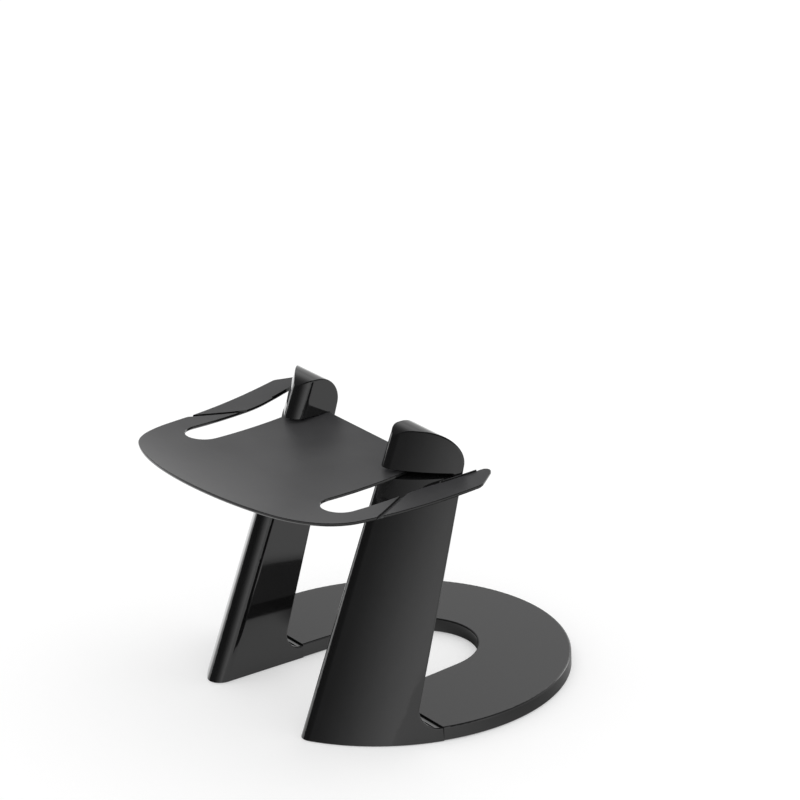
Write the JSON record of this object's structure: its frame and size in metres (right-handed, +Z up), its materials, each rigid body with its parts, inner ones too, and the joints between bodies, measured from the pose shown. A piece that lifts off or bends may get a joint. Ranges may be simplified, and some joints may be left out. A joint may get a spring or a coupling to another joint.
{
  "type": "vr headset stand",
  "caption": "Desk stand for a virtual reality headset: round notched base, two leaning legs and a dished tray with side arms.",
  "frame": {"origin": "on the desk under the middle of the stand's box, on its mirror plane", "axes": "-Y the front, where the tray's raised edge is; +Y towards the back of the base; +Z up; +X the stand's left to right seen from the front"},
  "size_m": [0.19, 0.217, 0.1525],
  "materials": {
    "stand_plastic": "moulded gloss black",
    "screw_steel": "plain zinc plated",
    "pad_rubber": "matt"
  },
  "bodies": {
    "root": {"base_plate": "stand_plastic", "leg_right": "stand_plastic", "leg_left": "stand_plastic", "tray": "stand_plastic", "base_screws": "screw_steel", "foot_pad_1": "pad_rubber", "foot_pad_2": "pad_rubber", "foot_pad_3": "pad_rubber", "foot_pad_4": "pad_rubber", "foot_pad_5": "pad_rubber"}
  },
  "joints": []
}
